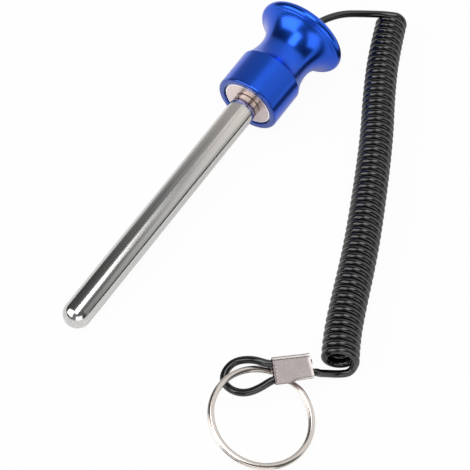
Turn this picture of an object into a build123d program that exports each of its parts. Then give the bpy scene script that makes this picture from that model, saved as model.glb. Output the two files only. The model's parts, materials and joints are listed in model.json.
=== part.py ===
from build123d import *
import os
from math import asin, atan2, cos, hypot, pi, radians, sin, tan

# A selector pin for a weight stack: a steel pin screwed into a turned knob that holds a ring
# magnet, with a coiled lanyard, a crimped loop and a split ring. It lies on a flat surface,
# on the tip of the pin and the lip of the knob. Millimetres, Z up, the pin along Y.

# Pin
pin_diameter = 9.525
pin_reach = 101.6
collar_length = 1.9
collar_round = 0.2
groove_width = 0.8
groove_depth = 0.45
shoulder_chamfer = 0.35
spigot_diameter = 8.0
spigot_length = 21.0
spigot_chamfer = 0.8

# Ring magnet
magnet_diameter = 18.0
magnet_thickness = 5.0
magnet_recess = 0.5
magnet_edge = 0.4
magnet_bore_clearance = 0.15

# Knob
knob_base_diameter = 23.0
knob_length = 35.8
base_round = 0.8
base_length = 14.45
waist_diameter = 18.9
waist_station = 22.5
flare_diameter = 31.75
lip_radius = 1.75
lip_inset = 1.45
lip_step = 0.3
crown_height = 0.45
pocket_clearance = 0.3
thread_clearance = 0.05
back_wall = 5.0
exit_chamfer = 0.6

# Cord, its stop and its coil
cord_diameter = 2.5
cord_hole_clearance = 0.15
stop_diameter = 6.6
stop_length = 5.0
stop_edge = 0.4
crimp_clearance = 0.02
coil_diameter = 11.6
lead_straight = 2.2

# Crimped ferrule
ferrule_length = 12.2
ferrule_wall = 0.45
ferrule_inner_width = 7.7
ferrule_clearance = 0.15
ferrule_press_depth = 0.2
ferrule_roll_width = 1.2
ferrule_seam_width = 0.3
ferrule_seam_length = 6.5
ferrule_flare = 0.3
ferrule_flare_length = 1.2
loop_straight = 1.1

# Split ring
ring_diameter = 34.3
ring_wire_width = 1.9
ring_wire_thickness = 0.95
ring_turn_gap = 0.1
ring_wire_chamfer = 0.25
ring_tilt = 17.25
ring_jog_start = 72.0
ring_jog_span = 20.0
ring_end_gap = 2.0
ring_centre_x = 70.9
ring_centre_y = -63.9

# Place of the ferrule on the leaning ring: position along and across the ring's plane
ferrule_x = -1.7
ferrule_y = 18.6
ferrule_turn = 50.4
ferrule_rest_gap = 0.3

pin_radius = pin_diameter / 2
cord_radius = cord_diameter / 2
coil_radius = coil_diameter / 2
bore_end = knob_length - back_wall
lip_station = knob_length - crown_height - lip_radius
lip_centre = flare_diameter / 2 - lip_radius

# The pin leans up until the lip of the knob touches the surface that the tip touches
reach_to_lip = pin_reach - pin_radius + lip_station
lean = asin((lip_radius - pin_radius) / hypot(reach_to_lip, lip_centre)) + atan2(lip_centre, reach_to_lip)
length_on_floor = pin_radius + reach_to_lip * cos(lean) + lip_centre * sin(lean) + lip_radius
tip_y = pin_radius - length_on_floor / 2


def axis_point(station):
    """A point on the pin's axis, measured from the knob's front face towards its back."""
    run = pin_reach - pin_radius + station
    return (0, tip_y + run * cos(lean), pin_radius + run * sin(lean))


pin_frame = Plane(origin=axis_point(0), x_dir=(1, 0, 0), z_dir=(0, cos(lean), sin(lean)))


def turned(outline):
    """Revolve a closed outline of (radius, station) points and edges about the pin's axis."""
    with BuildPart() as piece:
        with BuildSketch(Plane.XZ):
            with BuildLine():
                outline()
            make_face()
        revolve(axis=Axis.Z)
    return pin_frame * piece.part


# Pin: round tip, straight shank, groove, collar seated on the magnet, and the screw spigot
def pin_outline():
    tip_end = -pin_reach
    shank_end = magnet_recess - collar_length - groove_width
    groove_end = magnet_recess - collar_length
    groove_radius = pin_radius - groove_depth
    spigot_radius = spigot_diameter / 2
    spigot_end = magnet_recess + spigot_length
    RadiusArc((0, tip_end), (pin_radius, tip_end + pin_radius), -pin_radius)
    Polyline(
        (pin_radius, tip_end + pin_radius),
        (pin_radius, shank_end - shoulder_chamfer),
        (pin_radius - shoulder_chamfer, shank_end),
        (groove_radius, shank_end),
        (groove_radius, groove_end),
        (pin_radius - collar_round, groove_end),
        (pin_radius, groove_end + collar_round),
        (pin_radius, magnet_recess - collar_round),
        (pin_radius - collar_round, magnet_recess),
        (spigot_radius, magnet_recess),
        (spigot_radius, spigot_end - spigot_chamfer),
        (spigot_radius - spigot_chamfer, spigot_end),
        (0, spigot_end),
        (0, tip_end),
    )


# Ring magnet: a flat ring with broken edges, clamped in its pocket by the collar
def magnet_outline():
    outer = magnet_diameter / 2
    inner = spigot_diameter / 2 + magnet_bore_clearance
    front = magnet_recess
    back = magnet_recess + magnet_thickness
    Polyline(
        (inner, front),
        (outer - magnet_edge, front),
        (outer, front + magnet_edge),
        (outer, back - magnet_edge),
        (outer - magnet_edge, back),
        (inner, back),
        (inner, front),
    )


# Knob: base cylinder, hollow waist of two arcs, flare, rounded lip, crowned back and its bores
def knob_outline():
    base = knob_base_diameter / 2
    waist = waist_diameter / 2
    flare_end = (lip_centre + lip_radius - lip_inset, lip_station - lip_radius - lip_step / 2)
    valley = (flare_end[0] + lip_step / 2, flare_end[1] + lip_step)
    lip_back = (lip_centre, lip_station + lip_radius)
    exit_radius = cord_radius + cord_hole_clearance
    bore_radius = spigot_diameter / 2 + thread_clearance
    pocket_radius = magnet_diameter / 2 + pocket_clearance
    pocket_end = magnet_recess + magnet_thickness
    Polyline(
        (base, base_round),
        (base, base_length),
    )
    RadiusArc((base - base_round, 0), (base, base_round), -base_round)
    TangentArc((waist, waist_station), (base, base_length), tangent=(0, -1))
    TangentArc((waist, waist_station), flare_end, tangent=(0, 1))
    Line(flare_end, valley)
    ThreePointArc(valley, (lip_centre + lip_radius, lip_station), lip_back)
    Polyline(
        lip_back,
        (exit_radius + exit_chamfer, knob_length),
        (exit_radius, knob_length - exit_chamfer),
        (exit_radius, bore_end),
        (bore_radius, bore_end),
        (bore_radius, pocket_end),
        (pocket_radius, pocket_end),
        (pocket_radius, 0),
        (base - base_round, 0),
    )


# Stop crimped on the end of the cord, seated on the end of the knob's bore
def stop_outline():
    outer = stop_diameter / 2
    inner = cord_radius + crimp_clearance
    front = bore_end - stop_length
    Polyline(
        (inner, front),
        (outer - stop_edge, front),
        (outer, front + stop_edge),
        (outer, bore_end - stop_edge),
        (outer - stop_edge, bore_end),
        (inner, bore_end),
        (inner, front),
    )


# Frame of the leaning split ring: its low side rests on the surface, its high side is to -X
ring_height = 2 * ring_wire_thickness + ring_turn_gap
ring_lean = radians(ring_tilt)
edge_radius = ring_diameter / 2 - ring_wire_chamfer
ring_centre_z = edge_radius * sin(ring_lean) + ring_height / 2 * cos(ring_lean)
ring_frame = Plane(
    origin=(ring_centre_x, ring_centre_y, ring_centre_z),
    x_dir=(cos(ring_lean), 0, -sin(ring_lean)),
    z_dir=(sin(ring_lean), 0, cos(ring_lean)),
)

# Frame of the ferrule: it lies on the ring, its X towards the coil
ferrule_width = ferrule_inner_width + 2 * ferrule_wall
ferrule_height = cord_diameter + 2 * ferrule_clearance + 2 * ferrule_wall
ferrule_lift = ring_height / 2 + ferrule_rest_gap + ferrule_height / 2
ferrule_frame = ring_frame * Pos(ferrule_x, ferrule_y, ferrule_lift) * Rot(0, 0, ferrule_turn)


def in_ferrule(along, across):
    """A point at mid height in the ferrule."""
    point = (ferrule_frame * Pos(along, across, 0)).position
    return (point.X, point.Y, point.Z)


# Routes of the cord. Points on the pin's axis and in the ferrule follow those pieces.
run_offset = (ferrule_inner_width - cord_diameter) / 2 - ferrule_clearance
mouth = ferrule_length / 2 + loop_straight
lead_route = [
    axis_point(bore_end - stop_length),
    axis_point(knob_length + lead_straight),
    (2.2, 77.6, 15.6),
    (5.0, 84.4, 13.7),
    (9.6, 90.2, 11.2),
    (14.6, 95.0, 9.6),
    (19.4, 97.3, 9.2),
]
coil_route = [
    (17.2, 98.1, coil_radius),
    (23.2, 82.9, coil_radius),
    (32.0, 65.8, coil_radius),
    (41.0, 50.3, coil_radius),
    (52.0, 28.4, coil_radius),
    (62.2, 6.8, coil_radius),
    (71.0, -15.0, coil_radius),
    (76.2, -26.6, coil_radius),
    (80.4, -33.7, coil_radius),
]
loop_route = [
    (81.4, -32.0, 2.2),
    (79.7, -35.4, 2.6),
    (78.2, -38.0, 4.9),
    in_ferrule(mouth, 0.25 - run_offset),
    in_ferrule(0.4, 0.05 - run_offset),
    in_ferrule(-mouth, -run_offset),
    (65.9, -56.7, 9.4),
    (62.8, -60.4, 8.0),
    (58.7, -61.9, 7.6),
    (54.9, -60.9, 7.7),
    (53.3, -57.5, 8.5),
    (54.3, -53.5, 10.1),
    (58.8, -50.8, 12.1),
    in_ferrule(-mouth, run_offset),
    in_ferrule(-0.6, run_offset - 0.75),
    in_ferrule(5.8, run_offset - 1.85),
]


run_share = 0.45


def tube(name, route, diameter):
    """A round cord along straight runs joined by tangent arcs, as large as the runs allow."""
    points = [Vector(*p) for p in route]
    runs = [points[i + 1] - points[i] for i in range(len(points) - 1)]
    radii = []
    for before, after in zip(runs, runs[1:]):
        half_turn = radians(before.get_angle(after)) / 2
        radii.append(run_share * min(before.length, after.length) / tan(half_turn))
    path = FilletPolyline(*points, radius=radii)
    section = Plane(origin=points[0], z_dir=runs[0]) * Circle(diameter / 2)
    solid = sweep(section, path=path)
    share = solid.volume / (pi * diameter**2 / 4 * path.length)
    print(name, "radii", [round(r, 1) for r in radii], "length", round(path.length, 1), "share", round(share, 4))
    return solid


# Ferrule: a flat sleeve of sheet metal with one rolled edge, a pressed face, a flared mouth
# towards the coil and an open seam under the other edge
def ferrule_sleeve():
    inner_height = cord_diameter + 2 * ferrule_clearance
    half = ferrule_length / 2
    straight_end = half - ferrule_flare_length

    def slot(station, width, height):
        return Plane(origin=(station, 0, 0), x_dir=(0, 1, 0), z_dir=(1, 0, 0)) * SlotOverall(width, height)

    def sleeve(width, height):
        straight = extrude(slot(-half, width, height), amount=straight_end + half)
        flared = slot(half, width + ferrule_flare, height + ferrule_flare)
        return straight + loft([slot(straight_end, width, height), flared])

    body = sleeve(ferrule_width, ferrule_height) - sleeve(ferrule_inner_width, inner_height)
    body -= Pos(0, -ferrule_roll_width, ferrule_height / 2) * Box(
        2 * ferrule_length, ferrule_width, 2 * ferrule_press_depth
    )
    seam_place = Pos(half, (ferrule_height - ferrule_inner_width) / 2, -ferrule_height / 2)
    body -= seam_place * Box(2 * ferrule_seam_length, ferrule_seam_width, ferrule_height / 2)
    return ferrule_frame * body


# Split ring: two turns of flat wire with broken corners, one above the other, joined by a short jog
def split_ring():
    middle = (ring_diameter - ring_wire_width) / 2
    level = (ring_wire_thickness + ring_turn_gap) / 2
    turn = 360 - ring_jog_span - ring_end_gap

    def section(angle, height):
        a = radians(angle)
        plane = Plane(
            origin=(middle * cos(a), middle * sin(a), height),
            x_dir=(cos(a), sin(a), 0),
            z_dir=(sin(a), -cos(a), 0),
        )
        wire = Rectangle(ring_wire_width, ring_wire_thickness)
        return plane * chamfer(wire.vertices(), ring_wire_chamfer)

    jog_end = ring_jog_start - ring_jog_span
    lower = revolve(section(ring_jog_start, -level), axis=Axis.Z, revolution_arc=turn)
    upper = revolve(section(jog_end, level), axis=Axis.Z, revolution_arc=-turn)
    steps = 6
    rise = [i / steps for i in range(steps + 1)]
    jog = loft(
        [section(ring_jog_start - ring_jog_span * s, level * (2 * s * s * (3 - 2 * s) - 1)) for s in rise]
    )
    return ring_frame * (lower + jog + upper)


coil = tube("cord_coil", coil_route, coil_diameter)
nodes = {
    "pin_shaft": turned(pin_outline),
    "knob": turned(knob_outline),
    "ring_magnet": turned(magnet_outline),
    "cord_stop": turned(stop_outline),
    "cord_lead": tube("cord_lead", lead_route, cord_diameter) - coil,
    "cord_coil": coil,
    "cord_loop": tube("cord_loop", loop_route, cord_diameter) - coil,
    "crimp_ferrule": ferrule_sleeve(),
    "split_ring": split_ring(),
}

os.makedirs("parts", exist_ok=True)
for name, shape in nodes.items():
    shape.label = name
    export_step(shape, f"parts/{name}.step")
    print(name, "volume", round(shape.volume, 1))
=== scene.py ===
import json
from math import asin, atan2, ceil, cos, hypot, pi, radians, sin

import bmesh
import bpy
from mathutils import Matrix, Vector


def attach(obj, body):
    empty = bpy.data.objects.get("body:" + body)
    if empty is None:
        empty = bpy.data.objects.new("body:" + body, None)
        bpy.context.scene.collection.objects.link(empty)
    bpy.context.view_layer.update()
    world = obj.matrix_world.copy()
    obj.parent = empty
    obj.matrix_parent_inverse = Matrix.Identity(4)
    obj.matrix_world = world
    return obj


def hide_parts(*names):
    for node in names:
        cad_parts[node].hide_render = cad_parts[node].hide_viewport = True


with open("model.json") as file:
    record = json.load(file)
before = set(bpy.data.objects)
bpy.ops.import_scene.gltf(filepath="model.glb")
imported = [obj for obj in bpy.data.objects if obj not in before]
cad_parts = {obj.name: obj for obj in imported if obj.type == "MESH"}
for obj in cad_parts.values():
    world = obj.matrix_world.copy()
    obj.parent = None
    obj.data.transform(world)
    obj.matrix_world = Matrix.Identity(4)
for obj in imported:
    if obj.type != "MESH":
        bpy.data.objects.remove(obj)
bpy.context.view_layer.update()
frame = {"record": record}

scene = bpy.context.scene
scene.view_settings.view_transform = "Standard"
mm = 0.001


# The view: the pin and its lanyard lie on a pale table and are seen from above and from the right,
# through a long lens. The optical axis meets the table at view_target.
view_target = Vector((22.11, -6.93, 0)) * mm
view_distance = 800.5 * mm
view_azimuth = radians(34.29)
view_elevation = radians(53.73)
lens_length = 185.55
film_width = 36

camera_data = bpy.data.cameras.new("camera")
camera_data.lens = lens_length
camera_data.sensor_width = film_width
camera = bpy.data.objects.new("camera", camera_data)
scene.collection.objects.link(camera)
towards_camera = Vector((
    cos(view_elevation) * sin(view_azimuth),
    -cos(view_elevation) * cos(view_azimuth),
    sin(view_elevation),
))
camera.location = view_target + view_distance * towards_camera
camera.rotation_euler = (pi / 2 - view_elevation, 0, view_azimuth)
scene.camera = camera


# The table: a plain pale floor. Seen directly it is the white of the photograph with a faint part
# of the object's shadow. Seen in metal it keeps most of that shadow.
table_reach = 3.0
table_white = 0.9
table_glow = 0.95
table_glow_in_metal = 0.2


def place_node(tree, kind, inputs=None, family="ShaderNode", **settings):
    """Add a node, set its properties, and fill its inputs with values or links."""
    made = tree.nodes.new(family + kind)
    for key, value in settings.items():
        setattr(made, key, value)
    for key, value in (inputs or {}).items():
        if isinstance(value, bpy.types.NodeSocket):
            tree.links.new(value, made.inputs[key])
        else:
            made.inputs[key].default_value = value
    return made


def calculate(tree, operation, *values):
    """The output of a math node on values or links."""
    return place_node(tree, "Math", dict(enumerate(values)), operation=operation).outputs[0]


table_mesh = bpy.data.meshes.new("table")
table_corners = [(x * table_reach, y * table_reach, 0) for x, y in ((-1, -1), (1, -1), (1, 1), (-1, 1))]
table_mesh.from_pydata(table_corners, [], [(0, 1, 2, 3)])
table = bpy.data.objects.new("table", table_mesh)
scene.collection.objects.link(table)
table_finish = bpy.data.materials.new("table_white")
table_finish.use_nodes = True
tree = table_finish.node_tree
tree.nodes.clear()
rays = place_node(tree, "LightPath").outputs
seen_direct = calculate(tree, "MAXIMUM", rays["Is Camera Ray"], rays["Is Transmission Ray"])
seen_in_metal = calculate(tree, "MULTIPLY", rays["Is Glossy Ray"], table_glow_in_metal)
glow_share = calculate(tree, "MULTIPLY_ADD", seen_direct, table_glow, seen_in_metal)
matte = place_node(tree, "BsdfDiffuse", {"Color": (table_white, table_white, table_white, 1)})
glow = place_node(tree, "Emission", {"Color": (1, 1, 1, 1), "Strength": 1.0})
mixed = place_node(tree, "MixShader", {0: glow_share, 1: matte.outputs[0], 2: glow.outputs[0]})
place_node(tree, "OutputMaterial", {"Surface": mixed.outputs[0]})
table_mesh.materials.append(table_finish)


# The light: a plain even sky and three softboxes, a long one overhead and one in front on each
# side. Metal also sees the room: dim in front and at the sides, with a bright wall at the rear,
# whose lower edge slopes a little.
sky_level = 0.33
wall_low = 0.348
wall_high = 0.425
wall_tilt = 0.042


def ramp(tree, value, *stops):
    """The output of a colour ramp with stops of (place, grey)."""
    made = place_node(tree, "ValToRGB", {"Fac": value})
    elements = made.color_ramp.elements
    while len(elements) < len(stops):
        elements.new(0.5)
    for element, (place, grey) in zip(elements, stops):
        element.position = place
        element.color = (grey, grey, grey, 1)
    return made.outputs["Color"]


def mixed_colour(tree, amount, low, high):
    """A colour that runs from low to high with a mask. Each is a colour or the output of a node."""
    ends = [tone if isinstance(tone, bpy.types.NodeSocket) else (*tone, 1) for tone in (low, high)]
    return place_node(tree, "Mix", {0: amount, 6: ends[0], 7: ends[1]}, data_type="RGBA").outputs[2]


sky = bpy.data.worlds.new("studio_sky")
scene.world = sky
sky.use_nodes = True
tree = sky.node_tree
tree.nodes.clear()
direction = place_node(tree, "TexCoord").outputs["Generated"]
part = place_node(tree, "SeparateXYZ", {0: direction}).outputs
sideways = calculate(tree, "MULTIPLY_ADD", part["X"], 0.5, 0.5)
dim_room = ramp(
    tree, sideways,
    (0.0, 0.08), (0.2, 0.09), (0.37, 0.13), (0.5, 0.25), (0.74, 0.19), (0.88, 0.13), (1.0, 0.08),
)
rear_wall = ramp(
    tree, sideways,
    (0.0, 0.42), (0.22, 0.60), (0.4, 0.68), (0.52, 0.92), (0.75, 1.06), (0.92, 0.84), (1.0, 0.15),
)
rearwards = calculate(tree, "MULTIPLY_ADD", sideways, wall_tilt, part["Y"])
wall_range = {"Value": rearwards, "From Min": wall_low, "From Max": wall_high}
wall_share = place_node(tree, "MapRange", wall_range, interpolation_type="SMOOTHSTEP").outputs[0]
room = mixed_colour(tree, wall_share, dim_room, rear_wall)
rays = place_node(tree, "LightPath").outputs
plain = place_node(tree, "Background", {"Color": (1, 1, 1, 1), "Strength": sky_level})
mirrored = place_node(tree, "Background", {"Color": room, "Strength": 1.0})
white = place_node(tree, "Background", {"Color": (1, 1, 1, 1), "Strength": 1.0})
for_metal = place_node(
    tree, "MixShader", {0: rays["Is Glossy Ray"], 1: plain.outputs[0], 2: mirrored.outputs[0]}
)
for_camera = place_node(
    tree, "MixShader", {0: rays["Is Camera Ray"], 1: for_metal.outputs[0], 2: white.outputs[0]}
)
place_node(tree, "OutputWorld", {"Surface": for_camera.outputs[0]})


def softbox(name, place, facing, width, depth, brightness):
    """A rectangular lamp, placed in millimetres, that is seen in metal at this brightness."""
    lamp = bpy.data.lights.new(name, "AREA")
    lamp.shape = "RECTANGLE"
    lamp.size = width * mm
    lamp.size_y = depth * mm
    lamp.energy = brightness * pi * lamp.size * lamp.size_y
    box = bpy.data.objects.new(name, lamp)
    box.location = Vector(place) * mm
    box.rotation_euler = Vector(facing).to_track_quat("-Z", "Y").to_euler()
    box.visible_camera = False
    scene.collection.objects.link(box)


softbox("overhead_softbox", (360, -400, 2000), (0, 0, -1), 1060, 2000, 2.7)
softbox("left_softbox", (-1600, -1400, 1275), (0, 0.82, -0.57), 2800, 1740, 2.4)
softbox("right_softbox", (1070, -965, 415), (-0.71, 0.64, -0.28), 1330, 850, 1.5)


# Pin: one bar of steel, turned, with a round nose, a narrow groove and a short collar that holds
# the magnet. The shank is polished lengthwise, the collar is left as turned, and the screw end is
# hidden in the knob. The groove's colour is painted shade, dark violet with a painted reflection
# of the knob's blue.
pin_radius = 4.7625
pin_reach = 101.6
collar_length = 1.9
collar_round = 0.2
collar_foot = 0.12
neck_length = 0.2
groove_width = 0.8
groove_radius = 4.3125
shoulder_chamfer = 0.35
magnet_recess = 0.5
spigot_radius = 4.0
spigot_length = 21.0
spigot_chamfer = 0.8

# Stations run along the pin's axis from the knob's front face towards its back. The axis leans up
# a little, because the pin lies on its tip and on the rim of the knob.
mounts = {mount["name"]: mount for mount in frame["record"]["mounts"]}
face_place = Vector(mounts["knob_face"]["pos_m"])
along_pin = -Vector(mounts["pin"]["axis"]).normalized()
pin_lean = atan2(along_pin.z, along_pin.y)
pin_origin = Vector((0, face_place.y, face_place.z))
to_pin = Matrix.Translation(pin_origin) @ Matrix.Rotation(pin_lean, 4, "X")


def arc_points(centre, radius, start, end, step):
    """Points of an arc as (radius, station) pairs. Its angles and the step are in degrees."""
    count = max(2, ceil(abs(end - start) / step))
    angles = [radians(start + (end - start) * i / count) for i in range(count + 1)]
    return [(centre[0] + radius * cos(a), centre[1] + radius * sin(a)) for a in angles]


def held(outline, closed):
    """The outline with a point close to each end of its long straight runs, to keep them flat."""
    hold = 0.04
    pairs = list(zip(outline, outline[1:] + outline[:1] if closed else outline[1:]))
    points = []
    for a, b in pairs:
        points.append(a)
        run = hypot(b[0] - a[0], b[1] - a[1])
        if run > 8 * hold:
            for share in (hold / run, 1 - hold / run):
                points.append((a[0] + (b[0] - a[0]) * share, a[1] + (b[1] - a[1]) * share))
    return points if closed else points + [outline[-1]]


def turned_piece(name, outline, sides, closed=False, crease=32):
    """A mesh turned about the pin's axis from (radius, station) points in millimetres."""
    shape = bmesh.new()
    rings = []
    for radius, station in held(outline, closed):
        if radius < 1e-6:
            rings.append([shape.verts.new((0, station * mm, 0))])
            continue
        angles = [2 * pi * i / sides for i in range(sides)]
        places = [(radius * cos(a) * mm, station * mm, radius * sin(a) * mm) for a in angles]
        rings.append([shape.verts.new(place) for place in places])
    following = rings[1:] + (rings[:1] if closed else [])
    for near, far in zip(rings, following):
        for i in range(sides):
            j = (i + 1) % sides
            corners = [near[i % len(near)], near[j % len(near)], far[j % len(far)], far[i % len(far)]]
            shape.faces.new(list(dict.fromkeys(corners)))
    return finished_mesh(name, shape, to_pin, crease)


def finished_mesh(name, shape, place, crease=32):
    """Make an object of a bmesh: put in place, facing outwards, smooth but for its creases."""
    shape.transform(place)
    bmesh.ops.remove_doubles(shape, verts=shape.verts, dist=0.001 * mm)
    bmesh.ops.recalc_face_normals(shape, faces=shape.faces)
    mesh = bpy.data.meshes.new(name)
    shape.to_mesh(mesh)
    shape.free()
    mesh.shade_smooth()
    mesh.set_sharp_from_angle(angle=radians(crease))
    piece = bpy.data.objects.new(name, mesh)
    scene.collection.objects.link(piece)
    return piece


groove_end = magnet_recess - collar_length
shank_end = groove_end - groove_width
spigot_end = magnet_recess + spigot_length
pin_outline = arc_points((0, pin_radius - pin_reach), pin_radius, -90, 0, 3)
pin_outline[0] = (0, -pin_reach)
pin_outline += arc_points(
    (pin_radius - shoulder_chamfer, shank_end - shoulder_chamfer), shoulder_chamfer, 0, 90, 15
)
pin_outline += [(groove_radius, shank_end), (groove_radius, groove_end)]
pin_outline += arc_points((pin_radius - collar_round, groove_end + collar_round), collar_round, -90, 0, 15)
collar_end = magnet_recess - neck_length
pin_outline += arc_points((pin_radius - collar_foot, collar_end - collar_foot), collar_foot, 0, 90, 15)
pin_outline += [(groove_radius, collar_end), (groove_radius, magnet_recess)]
pin_outline += [(spigot_radius, magnet_recess), (spigot_radius, spigot_end - spigot_chamfer)]
pin_outline += [(spigot_radius - spigot_chamfer, spigot_end), (0, spigot_end)]
pin = turned_piece("pin", pin_outline, sides=160)


def new_finish(name, **constants):
    """A material with a Principled shader, its constants set on the shader's own sockets."""
    material = bpy.data.materials.new(name)
    material.use_nodes = True
    tree = material.node_tree
    shader = tree.nodes["Principled BSDF"]
    for key, value in constants.items():
        shader.inputs[key.replace("_", " ")].default_value = value
    return material, tree, shader.inputs


def new_effect(name, sizes, mask):
    """An empty shader node group that takes a vector and some sizes, and puts out one mask."""
    group = bpy.data.node_groups.new(name, "ShaderNodeTree")
    group.interface.new_socket("Vector", in_out="INPUT", socket_type="NodeSocketVector")
    for label in sizes:
        group.interface.new_socket(label, in_out="INPUT", socket_type="NodeSocketFloat")
    group.interface.new_socket(mask, in_out="OUTPUT", socket_type="NodeSocketFloat")
    start = group.nodes.new("NodeGroupInput").outputs
    end = group.nodes.new("NodeGroupOutput").inputs
    return group, start, end


def apply_effect(tree, group, vector, **sizes):
    """Place a node group in a material with its own sizes, and return its mask."""
    return place_node(tree, "Group", {"Vector": vector, **sizes}, node_tree=group).outputs[0]


# Long fine lines that polishing, rolling or drawing leaves. They run along Y of the vector.
polishing_lines, start, end = new_effect("polishing_lines", ["Across", "Along"], "Lines")
stretch = place_node(
    polishing_lines, "CombineXYZ", {0: start["Across"], 1: start["Along"], 2: start["Across"]}
)
stretched = place_node(
    polishing_lines, "VectorMath", {0: start["Vector"], 1: stretch.outputs[0]}, operation="MULTIPLY"
)
streaks = place_node(
    polishing_lines, "TexNoise",
    {"Vector": stretched.outputs[0], "Scale": 1.0, "Detail": 4.0, "Roughness": 0.6},
)
polishing_lines.links.new(streaks.outputs[0], end["Lines"])


def piece_vector(tree, place, lean):
    """Object coordinates as seen from a piece's own frame."""
    whole = place_node(tree, "TexCoord").outputs["Object"]
    inputs = {"Vector": whole, "Location": tuple(place), "Rotation": tuple(lean)}
    return place_node(tree, "Mapping", inputs, vector_type="TEXTURE").outputs[0]


def blended(tree, amount, low, high):
    """A value that runs from low to high with a mask."""
    inputs = {"Value": amount, "To Min": low, "To Max": high}
    return place_node(tree, "MapRange", inputs).outputs[0]


def rubbed_from(tree, value, place, soft):
    """A mask that rises past a place, in millimetres, or falls past it if soft is negative."""
    inputs = {"Value": value, "From Min": (place - soft) * mm, "From Max": (place + soft) * mm}
    return place_node(tree, "MapRange", inputs, interpolation_type="SMOOTHSTEP").outputs[0]


def bump(tree, height, depth):
    """The normal that a height gives, with its full depth in metres."""
    return place_node(tree, "Bump", {"Height": height, "Distance": depth}).outputs["Normal"]


def weighed(tree, first, second, share):
    """Two masks added up, the first with its share and the second with the rest."""
    rest = calculate(tree, "MULTIPLY", second, 1 - share)
    return calculate(tree, "MULTIPLY_ADD", first, share, rest)


# The shank's colour is painted warmer and lighter near the knob, a painted reflection of warm
# light there. Its polish has sparse specks. The groove is painted dark as shade.
warm_length = 45
speck_scale = 1500.0
speck_level = 0.66
speck_contrast = 12.0
speck_share = 0.25
painted_groove_shade = (0.22, 0.17, 0.27)

pin_steel, tree, shader = new_finish("pin_steel", Metallic=1.0)
vector = piece_vector(tree, pin_origin, (pin_lean, 0, 0))
faint = apply_effect(tree, polishing_lines, vector, Across=1100.0, Along=16.0)
lines = place_node(tree, "MapRange", {"Value": faint, "From Min": 0.33, "From Max": 0.67}).outputs[0]
dots = place_node(tree, "TexNoise", {"Vector": vector, "Scale": speck_scale, "Detail": 5.0}).outputs[0]
above = calculate(tree, "SUBTRACT", dots, speck_level)
speck = place_node(tree, "Clamp", {0: calculate(tree, "MULTIPLY", above, speck_contrast)}).outputs[0]
worn = weighed(tree, speck, lines, speck_share)
station = place_node(tree, "SeparateXYZ", {0: vector}).outputs["Y"]
warm_range = {"Value": station, "From Min": -warm_length * mm, "From Max": 0.0}
near_knob = place_node(tree, "MapRange", warm_range).outputs[0]
cool = mixed_colour(tree, lines, (0.55, 0.545, 0.54), (0.74, 0.73, 0.72))
painted_warm_reflection = mixed_colour(tree, lines, (0.61, 0.565, 0.52), (0.83, 0.785, 0.73))
shank_tone = mixed_colour(tree, near_knob, cool, painted_warm_reflection)
# Painted shade: the groove is painted dark violet, shade with a painted reflection of the knob's blue.
in_groove = rubbed_from(tree, station, shank_end, soft=0.04)
with_painted_groove_shade = mixed_colour(tree, in_groove, shank_tone, painted_groove_shade)
on_collar = rubbed_from(tree, station, groove_end, soft=0.05)
as_turned = mixed_colour(tree, lines, (0.36, 0.32, 0.295), (0.49, 0.445, 0.415))
tinted = mixed_colour(tree, on_collar, with_painted_groove_shade, as_turned)
tree.links.new(tinted, shader["Base Color"])
tree.links.new(blended(tree, worn, 0.08, 0.22), shader["Roughness"])
tree.links.new(bump(tree, lines, depth=0.004 * mm), shader["Normal"])
pin.data.materials.append(pin_steel)
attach(pin, "pin_and_lanyard")
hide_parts("pin_shaft")


# Ring magnet: a nickel plated flat ring with broken edges. A narrow band inside its outer edge is
# painted matt white, a painted highlight. It sits in a pocket in the front of the knob and is
# clamped there by the pin's collar.
magnet_radius = 9.0
magnet_thickness = 5.0
magnet_edge = 0.4
magnet_bore = 4.15
magnet_back = magnet_recess + magnet_thickness
# The width and the white of the painted highlight along the outer edge.
highlight_band_width = 0.2
painted_edge_highlight = (1, 0.98, 0.97)


def tube_outline(bore, radius, edge, front, back):
    """The outline of a turned ring or tube, with the rounding of its outer edges."""
    outline = [(bore, front)]
    outline += arc_points((radius - edge, front + edge), edge, -90, 0, 15)
    outline += arc_points((radius - edge, back - edge), edge, 0, 90, 15)
    return outline + [(bore, back)]


magnet_outline = tube_outline(magnet_bore, magnet_radius, magnet_edge, magnet_recess, magnet_back)
magnet = turned_piece("magnet", magnet_outline, sides=128, closed=True)


def from_axis(tree, at):
    """How far a place lies from the axis that a piece is turned about."""
    across = place_node(tree, "CombineXYZ", {0: at["X"], 1: at["Z"]}).outputs[0]
    return place_node(tree, "VectorMath", {0: across}, operation="LENGTH").outputs["Value"]


# Fine rings that a lathe tool leaves: they follow the radius and the station along the axis.
lathe_rings, start, end = new_effect("lathe_rings", ["Lines"], "Rings")
at = place_node(lathe_rings, "SeparateXYZ", {0: start["Vector"]}).outputs
profile = place_node(lathe_rings, "CombineXYZ", {0: from_axis(lathe_rings, at), 1: at["Y"]}).outputs[0]
ringed = place_node(
    lathe_rings, "TexNoise",
    {"Vector": profile, "Scale": start["Lines"], "Detail": 2.0, "Roughness": 0.5},
)
lathe_rings.links.new(ringed.outputs[0], end["Rings"])

# Soft cloudy unevenness of a finish.
clouding, start, end = new_effect("clouding", ["Clouds"], "Cloud")
clouds = place_node(
    clouding, "TexNoise", {"Vector": start["Vector"], "Scale": start["Clouds"], "Detail": 3.0}
)
clouding.links.new(clouds.outputs[0], end["Cloud"])

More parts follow.
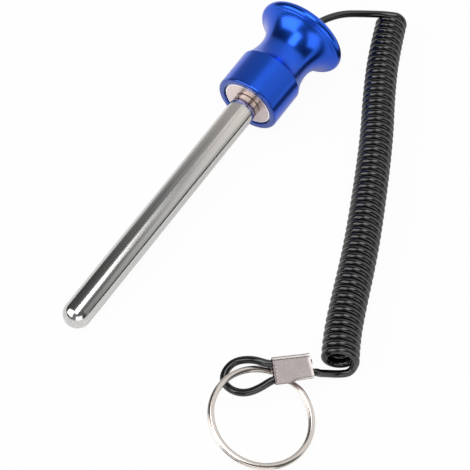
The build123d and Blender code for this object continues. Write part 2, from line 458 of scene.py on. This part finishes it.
magnet_nickel, tree, shader = new_finish("magnet_nickel", Metallic=1.0)
vector = piece_vector(tree, pin_origin, (pin_lean, 0, 0))
cloud = apply_effect(tree, clouding, vector, Clouds=260.0)
rings = apply_effect(tree, lathe_rings, vector, Lines=5200.0)
outward = from_axis(tree, place_node(tree, "SeparateXYZ", {0: vector}).outputs)
# Painted highlight: a band inside the outer edge is painted white and not metallic.
edge_share = rubbed_from(tree, outward, magnet_radius - magnet_edge - highlight_band_width, soft=0.1)
face = mixed_colour(tree, cloud, (0.80, 0.675, 0.655), (0.90, 0.775, 0.745))
plated = mixed_colour(tree, edge_share, face, painted_edge_highlight)
tree.links.new(plated, shader["Base Color"])
tree.links.new(blended(tree, edge_share, 1.0, 0.0), shader["Metallic"])
tree.links.new(blended(tree, cloud, 0.24, 0.36), shader["Roughness"])
tree.links.new(bump(tree, rings, depth=0.002 * mm), shader["Normal"])
magnet.data.materials.append(magnet_nickel)
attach(magnet, "pin_and_lanyard")
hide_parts("ring_magnet")


# Knob: one piece of turned aluminium, anodised blue, with a pocket for the magnet, a hollow
# waist, a wide flare with a rounded lip, and a bore for the pin and the cord. It is screwed on
# the end of the pin.
base_radius = 11.5
base_round = 0.8
base_length = 14.45
waist_radius = 9.45
waist_station = 22.5
flare_radius = 15.875
lip_radius = 1.75
lip_inset = 1.45
lip_step = 0.3
crown_height = 0.45
knob_length = 35.8
pocket_radius = 9.3
bore_radius = 4.05
bore_end = 30.8
cord_hole_radius = 1.4
hole_chamfer = 0.6
pocket_edge = 0.15

lip_station = knob_length - crown_height - lip_radius
lip_centre = flare_radius - lip_radius
flare_end = (flare_radius - lip_inset, lip_station - lip_radius - lip_step / 2)
valley = (flare_end[0] + lip_step / 2, flare_end[1] + lip_step)


def waist_arc(edge):
    """Centre, radius and angle of the arc that leaves the waist along the axis and ends at edge."""
    across = edge[0] - waist_radius
    along = edge[1] - waist_station
    radius = (across**2 + along**2) / (2 * across)
    return (waist_radius + radius, waist_station), radius, asin(along / radius)


lower_centre, lower_radius, lower_angle = waist_arc((base_radius, base_length))
upper_centre, upper_radius, upper_angle = waist_arc(flare_end)
lip_start = atan2(valley[1] - lip_station, valley[0] - lip_centre) * 180 / pi
knob_outline = [(pocket_radius, pocket_edge), (pocket_radius + pocket_edge, 0)]
knob_outline += arc_points((base_radius - base_round, base_round), base_round, -90, 0, 9)
knob_outline += arc_points(lower_centre, lower_radius, 180 - lower_angle * 180 / pi, 180, 3)
knob_outline += arc_points(upper_centre, upper_radius, 180, 180 - upper_angle * 180 / pi, 3)[1:]
knob_outline += arc_points((lip_centre, lip_station), lip_radius, lip_start, 90, 7)
knob_outline += [(cord_hole_radius + hole_chamfer, knob_length)]
knob_outline += [(cord_hole_radius, knob_length - hole_chamfer), (cord_hole_radius, bore_end)]
knob_outline += [(bore_radius, bore_end), (bore_radius, magnet_back), (pocket_radius, magnet_back)]
knob = turned_piece("pull_knob", knob_outline, sides=160, closed=True, crease=24)

# The flat front rim is painted a deeper blue, a painted shade, and is glossier.
front_depth = 0.45
front_painted_shade = (0.003, 0.055, 0.40)
front_coat = 1.0
side_coat = 0.4

blue_anodised, tree, shader = new_finish("blue_anodised", Metallic=1.0, Coat_Roughness=0.2)
vector = piece_vector(tree, pin_origin, (pin_lean, 0, 0))
rings = apply_effect(tree, lathe_rings, vector, Lines=3000.0)
cloud = apply_effect(tree, clouding, vector, Clouds=70.0)
tone = weighed(tree, rings, cloud, 0.35)
station = place_node(tree, "SeparateXYZ", {0: vector}).outputs["Y"]
front = rubbed_from(tree, station, front_depth, soft=-0.25)
side = mixed_colour(tree, tone, (0.004, 0.083, 0.64), (0.008, 0.105, 0.74))
tree.links.new(mixed_colour(tree, front, side, front_painted_shade), shader["Base Color"])
tree.links.new(blended(tree, front, side_coat, front_coat), shader["Coat Weight"])
tree.links.new(blended(tree, tone, 0.20, 0.30), shader["Roughness"])
tree.links.new(bump(tree, rings, depth=0.0012 * mm), shader["Normal"])
knob.data.materials.append(blue_anodised)
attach(knob, "pin_and_lanyard")
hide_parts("knob")


# Stop: a short steel sleeve crimped on the end of the cord inside the knob's bore. It keeps the
# cord from pulling out through the hole in the knob's back.
stop_radius = 3.3
stop_bore = 1.27
stop_length = 5.0
stop_edge = 0.4

stop_front = bore_end - stop_length
stop_outline = tube_outline(stop_bore, stop_radius, stop_edge, stop_front, bore_end)
stop = turned_piece("stop", stop_outline, sides=64, closed=True)

stop_steel, tree, shader = new_finish("stop_steel", Metallic=1.0)
vector = piece_vector(tree, pin_origin, (pin_lean, 0, 0))
rings = apply_effect(tree, lathe_rings, vector, Lines=2500.0)
tree.links.new(mixed_colour(tree, rings, (0.5, 0.5, 0.51), (0.62, 0.62, 0.63)), shader["Base Color"])
tree.links.new(blended(tree, rings, 0.3, 0.45), shader["Roughness"])
stop.data.materials.append(stop_steel)
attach(stop, "pin_and_lanyard")
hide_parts("cord_stop")


# Cord: one length of round black plastic cord. It leaves the knob's back, is wound into a long
# curly stretch, goes through the crimped sleeve, round in a loop and back into the sleeve.
cord_diameter = 2.5
coil_pitch = 2.66
coil_near_knob = 10.9
coil_near_sleeve = 12.4
first_turn_angle = 60
points_a_turn = 12

# Where the ring lies, and the sleeve on it, because the cord runs through both.
ring_place = Vector(mounts["ring_eye"]["pos_m"])
ring_normal = Vector(mounts["ring_eye"]["axis"]).normalized()
ring_lean = atan2(ring_normal.x, ring_normal.z)
to_ring = Matrix.Translation(ring_place) @ Matrix.Rotation(ring_lean, 4, "Y")
ring_height = 2.0
sleeve_length = 12.2
sleeve_wall = 0.45
sleeve_inner_width = 7.7
sleeve_clearance = 0.15
sleeve_turn = radians(50.4)
sleeve_from_ring = (-1.7, 18.6)
sleeve_over_ring = 0.3
sleeve_height = cord_diameter + 2 * sleeve_clearance + 2 * sleeve_wall
sleeve_lift = ring_height / 2 + sleeve_over_ring + sleeve_height / 2
sleeve_place = Matrix.Translation(Vector((*sleeve_from_ring, sleeve_lift)) * mm)
to_sleeve = to_ring @ sleeve_place @ Matrix.Rotation(sleeve_turn, 4, "Z")
run_offset = (sleeve_inner_width - cord_diameter) / 2 - sleeve_clearance
past_mouth = sleeve_length / 2 + 1.1
straight_past_knob = 2.2


def pin_point(station):
    """A point on the pin's axis."""
    return to_pin @ Vector((0, station * mm, 0))


def sleeve_point(along, across):
    """A point at mid height in the crimped sleeve."""
    return to_sleeve @ Vector((along * mm, across * mm, 0))


# Control points of the cord's stretches in metres, but in millimetres on the pin's axis and in the
# sleeve. The coil's are those of the line that it lies along on the table.
lead_route = [
    pin_point(stop_front), pin_point(knob_length + straight_past_knob),
    (0.0022, 0.0776, 0.0156), (0.0050, 0.0844, 0.0137), (0.0096, 0.0902, 0.0112),
    (0.0146, 0.0950, 0.0096), (0.0178, 0.0968, 0.0094),
]
coil_route = [
    (0.0172, 0.0981), (0.0232, 0.0829), (0.0320, 0.0658), (0.0410, 0.0503), (0.0520, 0.0284),
    (0.0622, 0.0068), (0.0710, -0.0150), (0.0762, -0.0266), (0.0804, -0.0337),
]
loop_route = [
    (0.0835, -0.0303, 0.0022), (0.0829, -0.0322, 0.00125), (0.0810, -0.0339, 0.00125),
    (0.0794, -0.0355, 0.0019), (0.0780, -0.0376, 0.0036), (0.0767, -0.0401, 0.0058),
    sleeve_point(past_mouth, 0.25 - run_offset), sleeve_point(0.4, 0.05 - run_offset),
    sleeve_point(-past_mouth, -run_offset),
    (0.0659, -0.0567, 0.0094), (0.0628, -0.0604, 0.0080), (0.0585, -0.0619, 0.0076),
    (0.0543, -0.0609, 0.0077), (0.0527, -0.0575, 0.0085), (0.0538, -0.0535, 0.0101),
    (0.0588, -0.0508, 0.0121),
    sleeve_point(-past_mouth, run_offset), sleeve_point(-0.6, run_offset - 0.75),
    sleeve_point(6.6, run_offset - 1.4),
]


def smooth_line(name, points):
    """A curve of one open spline with these control points."""
    curve = bpy.data.curves.new(name, "CURVE")
    curve.dimensions = "3D"
    spline = curve.splines.new("NURBS")
    spline.points.add(len(points) - 1)
    for control, point in zip(spline.points, points):
        control.co = (*point, 1)
    spline.order_u = 3
    spline.use_endpoint_u = True
    line = bpy.data.objects.new(name, curve)
    scene.collection.objects.link(line)
    return line


def followed_points(points):
    """Closely spaced places along the smooth line that these control points give."""
    guide = smooth_line("guide", points)
    guide.data.resolution_u = 40
    bpy.context.view_layer.update()
    depsgraph = bpy.context.evaluated_depsgraph_get()
    drawn = bpy.data.meshes.new_from_object(guide.evaluated_get(depsgraph))
    along = [vertex.co.copy() for vertex in drawn.vertices]
    bpy.data.objects.remove(guide)
    bpy.data.meshes.remove(drawn)
    return along


def coil_turns():
    """Control points of the curly stretch, which starts past the top and ends at the right."""
    axis = followed_points([(x, y, 0) for x, y in coil_route])
    lengths = [0]
    for near, far in zip(axis, axis[1:]):
        lengths.append(lengths[-1] + (far - near).length)
    # A smooth line cuts the corners at its control points, so these stand further out.
    corner_share = cos(pi / points_a_turn)
    inset = cord_diameter / 2 * mm
    wound = lengths[-1] - 2 * inset
    turns = round(wound / (coil_pitch * mm)) + first_turn_angle / 360
    count = round(turns * points_a_turn)
    points = []
    leg = 0
    for i in range(count + 1):
        share = i / count
        place = inset + share * wound
        while leg < len(axis) - 2 and lengths[leg + 1] < place:
            leg += 1
        part = (place - lengths[leg]) / (lengths[leg + 1] - lengths[leg])
        forward = (axis[leg + 1] - axis[leg]).normalized()
        centre = axis[leg].lerp(axis[leg + 1], part)
        outer = (coil_near_knob + (coil_near_sleeve - coil_near_knob) * share) / 2 * mm
        reach = (outer - cord_diameter / 2 * mm) / corner_share
        right = Vector((0, 0, 1)).cross(forward)
        angle = radians(first_turn_angle) - 2 * pi * i / points_a_turn
        turned = cos(angle) * right + Vector((0, 0, sin(angle)))
        points.append(centre + Vector((0, 0, outer)) + reach * turned)
    return points


cord = smooth_line("cord", lead_route + coil_turns() + loop_route)
cord.data.resolution_u = 4
cord.data.bevel_depth = cord_diameter / 2 * mm
cord.data.bevel_resolution = 6
cord.data.use_fill_caps = True

cord_black, tree, shader = new_finish("cord_black", IOR=1.65)
vector = place_node(tree, "TexCoord").outputs["Object"]
cloud = apply_effect(tree, clouding, vector, Clouds=160.0)
black = mixed_colour(tree, cloud, (0.003, 0.0028, 0.003), (0.006, 0.0057, 0.006))
tree.links.new(black, shader["Base Color"])
tree.links.new(blended(tree, cloud, 0.05, 0.10), shader["Roughness"])
tree.links.new(bump(tree, cloud, depth=0.005 * mm), shader["Normal"])
cord.data.materials.append(cord_black)
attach(cord, "pin_and_lanyard")
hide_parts("cord_lead", "cord_coil", "cord_loop")


# Crimped sleeve: a strip of plated sheet metal folded round the two runs of the cord and pressed
# flat, with the seam underneath. One edge stays rolled and the mouth towards the coil is flared. A lip
# is squeezed out along the near edge and at the end near the loop, where the press left tooth marks.
sheet_thickness = 0.36
edge_softness = 0.06
sleeve_half_length = sleeve_length / 2
sleeve_half_width = sleeve_inner_width / 2 + sleeve_wall
sleeve_half_height = sleeve_height / 2
skew = 0.5
taper = 0.5
under_corner = 1.5

# The rolled edge, and the groove between it and the pressed face.
roll_corner = 0.73
roll_turn = 78
roll_flat = 0.55
roll_slope = radians(15)
roll_groove_depth = 0.14
roll_groove_half = 0.11

# The pressed face, and its waves, each with its radians per millimetre and its phase. Places along
# the sleeve run from the end near the loop, which is below zero, to the mouth, and places across it
# from the near edge to the rolled one.
press_depth = 0.21
wave_height = 0.025
wave_along = (0.8, 1.1)
wave_across = (0.75, -0.4)
face_steps = 48

# The near edge. Its overhang grows towards the loop, and press_start and press_end count that way.
press_start = -1.3
press_end = 3.1
corner_near_coil = 0.45
corner_near_loop = 0.3
corner_steps = 10
crease_depth = 0.05
crease_width = 0.12
crease_place = 0.05
overhang = 0.65
overhang_growth = 0.06
overhang_turn = 28
near_lip = 0.15
wall_trim = 0.3
tuck = 0.2

# The two ends: the flared mouth, and the rim and lip near the loop. end_lip_start counts towards
# the loop, and the lip grows from low to high on the sleeve.
flare_start = 4.7
flare_height = 0.12
rim_start = -5.5
rim_height = 0.03
end_lip_start = 2.0
end_lip_far = 0.22
end_lip_near = 0.78
end_lip_low = -0.5
end_lip_high = 1.0

# The seam, which opens towards the mouth.
seam_across = -2.0
seam_closed = 0.01
seam_widest = 0.3
seam_opens = -0.4

# The row of tooth marks.
dent_size = 0.34
dent_depth = 0.3
dent_row = -5.65
dent_stagger = 0.12
dent_pitch = 0.6
dent_count = 10
first_dent = 1.5
dents = [(dent_row + dent_stagger * (-1) ** i, first_dent - dent_pitch * i) for i in range(dent_count)]

# The sections stand closer together where the shape changes quickly.
dents_end = -4.6
dented_step = 0.08
plain_step = 0.4
mouth_step = 0.15


def eased(value, low, high):
    """From 0 to 1 with a soft start and end, as value runs from low to high."""
    share = min(1, max(0, (value - low) / (high - low)))
    return share * share * (3 - 2 * share)


def pressed_top(along, across, top):
    """Height of the pressed face at a point of the sleeve, a little uneven and with its dents."""
    wave = sin(wave_along[0] * along + wave_along[1]) * cos(wave_across[0] * across + wave_across[1])
    height = top - press_depth + wave_height * wave
    for dent_along, dent_across in dents:
        away = hypot(along - dent_along, across - dent_across) / dent_size
        if away < 1:
            height -= dent_depth * (1 - away * away) ** 2
    return height


def sleeve_section(along):
    """The strip round the sleeve at one station, as (across, up) points from seam edge to seam edge."""
    spread = flare_height * max(0, (along - flare_start) / (sleeve_half_length - flare_start)) ** 2
    spread += rim_height * max(0, (rim_start - along) / (rim_start + sleeve_half_length)) ** 2
    width = sleeve_half_width + spread
    pressed = eased(-along, press_start, press_end)
    near = width + near_lip * (1 - pressed)
    near += (overhang + overhang_growth * (along + sleeve_half_length)) * pressed
    far = width - taper * (along + sleeve_half_length) / sleeve_length
    top = sleeve_half_height + spread
    corner = corner_near_coil + (corner_near_loop - corner_near_coil) * pressed
    crease = crease_depth * (1 - pressed)
    gap = seam_closed + seam_widest / 2 * eased(along, seam_opens, sleeve_half_length)
    # From the seam along the underside, up the far side and over the roll into its groove.
    points = [(seam_across + gap, -top), (0, -top)]
    points += arc_points((far - under_corner, under_corner - top), under_corner, -90, 0, 12)
    points += arc_points((far - roll_corner, top - roll_corner), roll_corner, 0, roll_turn, 8)
    rolled = points[-1]
    points.append((rolled[0] - roll_flat * cos(roll_slope), rolled[1] - roll_flat * sin(roll_slope)))
    points.append((points[-1][0] - roll_groove_half, top - press_depth - roll_groove_depth))
    # Over the pressed face to its crease, round the near edge and back under to the seam.
    face_end = corner - near
    start = points[-1][0] - roll_groove_half
    for i in range(face_steps + 1):
        across = start + (face_end - start) * i / face_steps
        points.append((across, pressed_top(along, across, top)))
    low_top = points[-1][1]
    points[-2] = (face_end + crease_width, points[-2][1])
    points[-1] = (face_end + crease_place, low_top - crease)
    corner_turn = 90 + overhang_turn * pressed
    # Half a step less keeps the count the same in every section, whatever the rounding.
    corner_step = corner_turn / (corner_steps - 0.5)
    points += arc_points((face_end, low_top - corner), corner, 90, 90 + corner_turn, corner_step)
    under_near = width - wall_trim * (1 - pressed) - tuck * pressed
    points += arc_points((under_corner - under_near, under_corner - top), under_corner, 180, 270, 12)
    points.append((seam_across - gap, -top))
    return points


def stations_between(low, high, step):
    """Even steps from low up to high, without high itself."""
    count = ceil((high - low) / step)
    return [low + (high - low) * i / count for i in range(count)]


def sleeve_strip():
    """The outer face of the folded strip."""
    stations = stations_between(-sleeve_half_length, dents_end, dented_step)
    stations += stations_between(dents_end, flare_start, plain_step)
    stations += stations_between(flare_start, sleeve_half_length, mouth_step) + [sleeve_half_length]
    shape = bmesh.new()
    rows = []
    for along in stations:
        row = []
        for across, up in sleeve_section(along):
            nearness = (sleeve_half_width - across) / (2 * sleeve_half_width)
            lip = end_lip_far + (end_lip_near - end_lip_far) * nearness
            lip *= eased(-along, end_lip_start, sleeve_half_length)
            aside = skew * nearness + lip * eased(up, end_lip_low, end_lip_high)
            row.append(shape.verts.new(((along - aside) * mm, across * mm, up * mm)))
        rows.append(row)
    for near, far in zip(rows, rows[1:]):
        for i in range(len(near) - 1):
            shape.faces.new((near[i], near[i + 1], far[i + 1], far[i]))
    return finished_mesh("sleeve_strip", shape, Matrix.Identity(4))


def plain_piece(name, carrier, place, crease):
    """The result of a carrier's modifiers as a plain mesh in its place. The carrier goes."""
    depsgraph = bpy.context.evaluated_depsgraph_get()
    result = bpy.data.meshes.new_from_object(carrier.evaluated_get(depsgraph))
    shape = bmesh.new()
    shape.from_mesh(result)
    piece = finished_mesh(name, shape, place, crease)
    for material in result.materials:
        piece.data.materials.append(material)
    bpy.data.objects.remove(carrier)
    return piece


# Painted highlights: the sheet is painted brighter round the mouth, on the roll and on the near
# edge, where it catches light.
mouth_bright_from = 5.0
mouth_brightness = 0.5
roll_bright_from = 3.2
roll_bright_to = 3.75
edge_bright_past = -4.1
edge_bright_from = -0.1

ferrule_sheet, tree, shader = new_finish("ferrule_sheet", Metallic=1.0)
vector = piece_vector(tree, to_sleeve.translation, to_sleeve.to_euler())
cloud = apply_effect(tree, clouding, vector, Clouds=330.0)
lines = apply_effect(tree, polishing_lines, vector, Across=2600.0, Along=160.0)
tone = weighed(tree, lines, cloud, 0.4)
at = place_node(tree, "SeparateXYZ", {0: vector}).outputs
square = calculate(tree, "MULTIPLY_ADD", at["Y"], -skew / (2 * sleeve_half_width), at["X"])
at_mouth = rubbed_from(tree, square, mouth_bright_from, soft=0.3)
mouth = calculate(tree, "MULTIPLY", at_mouth, mouth_brightness)
tapered = calculate(tree, "MULTIPLY_ADD", at["X"], taper / sleeve_length, at["Y"])
roll_starts = rubbed_from(tree, tapered, roll_bright_from - taper / 2, soft=0.06)
roll_ends = rubbed_from(tree, tapered, roll_bright_to - taper / 2, soft=0.08)
roll = calculate(tree, "SUBTRACT", roll_starts, roll_ends)
on_edge = rubbed_from(tree, at["Y"], edge_bright_past, soft=-0.08)
edge = calculate(tree, "MULTIPLY", on_edge, rubbed_from(tree, square, edge_bright_from, soft=0.7))
# Painted highlight: where these masks rise, the brighter colour is painted in.
painted_highlight = calculate(tree, "MAXIMUM", mouth, calculate(tree, "MAXIMUM", roll, edge))
dull = mixed_colour(tree, tone, (0.37, 0.315, 0.315), (0.51, 0.45, 0.45))
bright = mixed_colour(tree, tone, (0.68, 0.63, 0.60), (0.82, 0.77, 0.74))
tree.links.new(mixed_colour(tree, painted_highlight, dull, bright), shader["Base Color"])
tree.links.new(blended(tree, tone, 0.26, 0.42), shader["Roughness"])
tree.links.new(bump(tree, tone, depth=0.002 * mm), shader["Normal"])

strip = sleeve_strip()
strip.data.materials.append(ferrule_sheet)
thickened = strip.modifiers.new("sheet", "SOLIDIFY")
thickened.thickness = sheet_thickness * mm
thickened.offset = -1
softened = strip.modifiers.new("edges", "BEVEL")
softened.width = edge_softness * mm
softened.segments = 2
softened.angle_limit = radians(50)
sleeve = plain_piece("sleeve", strip, to_sleeve, 35)
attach(sleeve, "pin_and_lanyard")
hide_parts("crimp_ferrule")


# Split ring: two turns of oval spring wire, one on the other, joined by a short jog, polished and
# nickel plated. It is threaded through the loop of the cord and lies aslant on it.
ring_diameter = 34.3
wire_width = 1.9
wire_thickness = 0.95
turn_gap = 0.1
jog_start = 92
jog_span = 20
end_gap = 2
stations_along_wire = 420
steps_round_wire = 24

ring_middle = (ring_diameter - wire_width) / 2
turn_level = (wire_thickness + turn_gap) / 2
turn = 360 - jog_span - end_gap

ring_nickel, tree, shader = new_finish("ring_nickel", Metallic=1.0)
vector = piece_vector(tree, ring_place, (0, ring_lean, 0))
cloud = apply_effect(tree, clouding, vector, Clouds=240.0)
plated = mixed_colour(tree, cloud, (0.60, 0.54, 0.50), (0.70, 0.645, 0.60))
tree.links.new(plated, shader["Base Color"])
tree.links.new(blended(tree, cloud, 0.09, 0.15), shader["Roughness"])

wire_sizes = {
    "Middle Radius": ring_middle * mm,
    "Wire Width": wire_width * mm,
    "Wire Thickness": wire_thickness * mm,
    "Level": turn_level * mm,
    "First Angle": radians(jog_start + turn),
    "Turn": radians(turn),
    "Jog": radians(jog_span),
}
wire_tree = bpy.data.node_groups.new("split_ring_wire", "GeometryNodeTree")
wire_tree.interface.new_socket("Wire", in_out="OUTPUT", socket_type="NodeSocketGeometry")
wire_inputs = {}
for label in wire_sizes:
    wire_inputs[label] = wire_tree.interface.new_socket(
        label, in_out="INPUT", socket_type="NodeSocketFloat"
    )
wire_inputs["Finish"] = wire_tree.interface.new_socket(
    "Finish", in_out="INPUT", socket_type="NodeSocketMaterial"
)
given = wire_tree.nodes.new("NodeGroupInput").outputs


def shaped(kind, inputs=None, **settings):
    """The first output of a geometry node in the ring's tree."""
    return place_node(wire_tree, kind, inputs, family="GeometryNode", **settings).outputs[0]


# The wire's path: the lower turn, the jog up, and the upper turn, on a circle seen from above.
whole_sweep = calculate(wire_tree, "MULTIPLY_ADD", given["Turn"], 2.0, given["Jog"])
swept = calculate(wire_tree, "MULTIPLY", shaped("SplineParameter"), whole_sweep)
angle = calculate(wire_tree, "SUBTRACT", given["First Angle"], swept)
jog_ends = calculate(wire_tree, "ADD", given["Turn"], given["Jog"])
rise = {"Value": swept, "From Min": given["Turn"], "From Max": jog_ends, "To Max": given["Level"]}
rise["To Min"] = calculate(wire_tree, "MULTIPLY", given["Level"], -1.0)
height = place_node(wire_tree, "MapRange", rise, interpolation_type="SMOOTHSTEP").outputs[0]
place = place_node(wire_tree, "CombineXYZ", {
    0: calculate(wire_tree, "MULTIPLY", given["Middle Radius"], calculate(wire_tree, "COSINE", angle)),
    1: calculate(wire_tree, "MULTIPLY", given["Middle Radius"], calculate(wire_tree, "SINE", angle)),
    2: height,
}).outputs[0]
straight = shaped("CurvePrimitiveLine")
divided = shaped("ResampleCurve", {"Curve": straight, "Count": stations_along_wire})
wound = shaped("SetPosition", {"Geometry": divided, "Position": place})
upright = shaped("SetCurveNormal", {"Curve": wound}, mode="Z_UP")

# The wire's section: a circle of diameter 1, scaled to the oval of flattened spring wire.
circle = shaped("CurvePrimitiveCircle", {"Resolution": steps_round_wire, "Radius": 0.5})
section = place_node(wire_tree, "CombineXYZ", {0: given["Wire Width"], 1: given["Wire Thickness"]})
oval_place = place_node(
    wire_tree, "VectorMath", {0: shaped("InputPosition"), 1: section.outputs[0]}, operation="MULTIPLY"
).outputs[0]
oval = shaped("SetPosition", {"Geometry": circle, "Position": oval_place})
wire = shaped("CurveToMesh", {"Curve": upright, "Profile Curve": oval, "Fill Caps": True})
real = shaped("RealizeInstances", {"Geometry": wire})
dressed = shaped("SetMaterial", {"Geometry": real, "Material": given["Finish"]})
wire_tree.links.new(dressed, wire_tree.nodes.new("NodeGroupOutput").inputs["Wire"])

wire_carrier = bpy.data.objects.new("wire_carrier", bpy.data.meshes.new("wire_carrier"))
scene.collection.objects.link(wire_carrier)
winding = wire_carrier.modifiers.new("winding", "NODES")
winding.node_group = wire_tree
for label, size in wire_sizes.items():
    winding[wire_inputs[label].identifier] = size
winding[wire_inputs["Finish"].identifier] = ring_nickel
ring = plain_piece("ring", wire_carrier, to_ring, 40)
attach(ring, "ring")
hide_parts("split_ring")
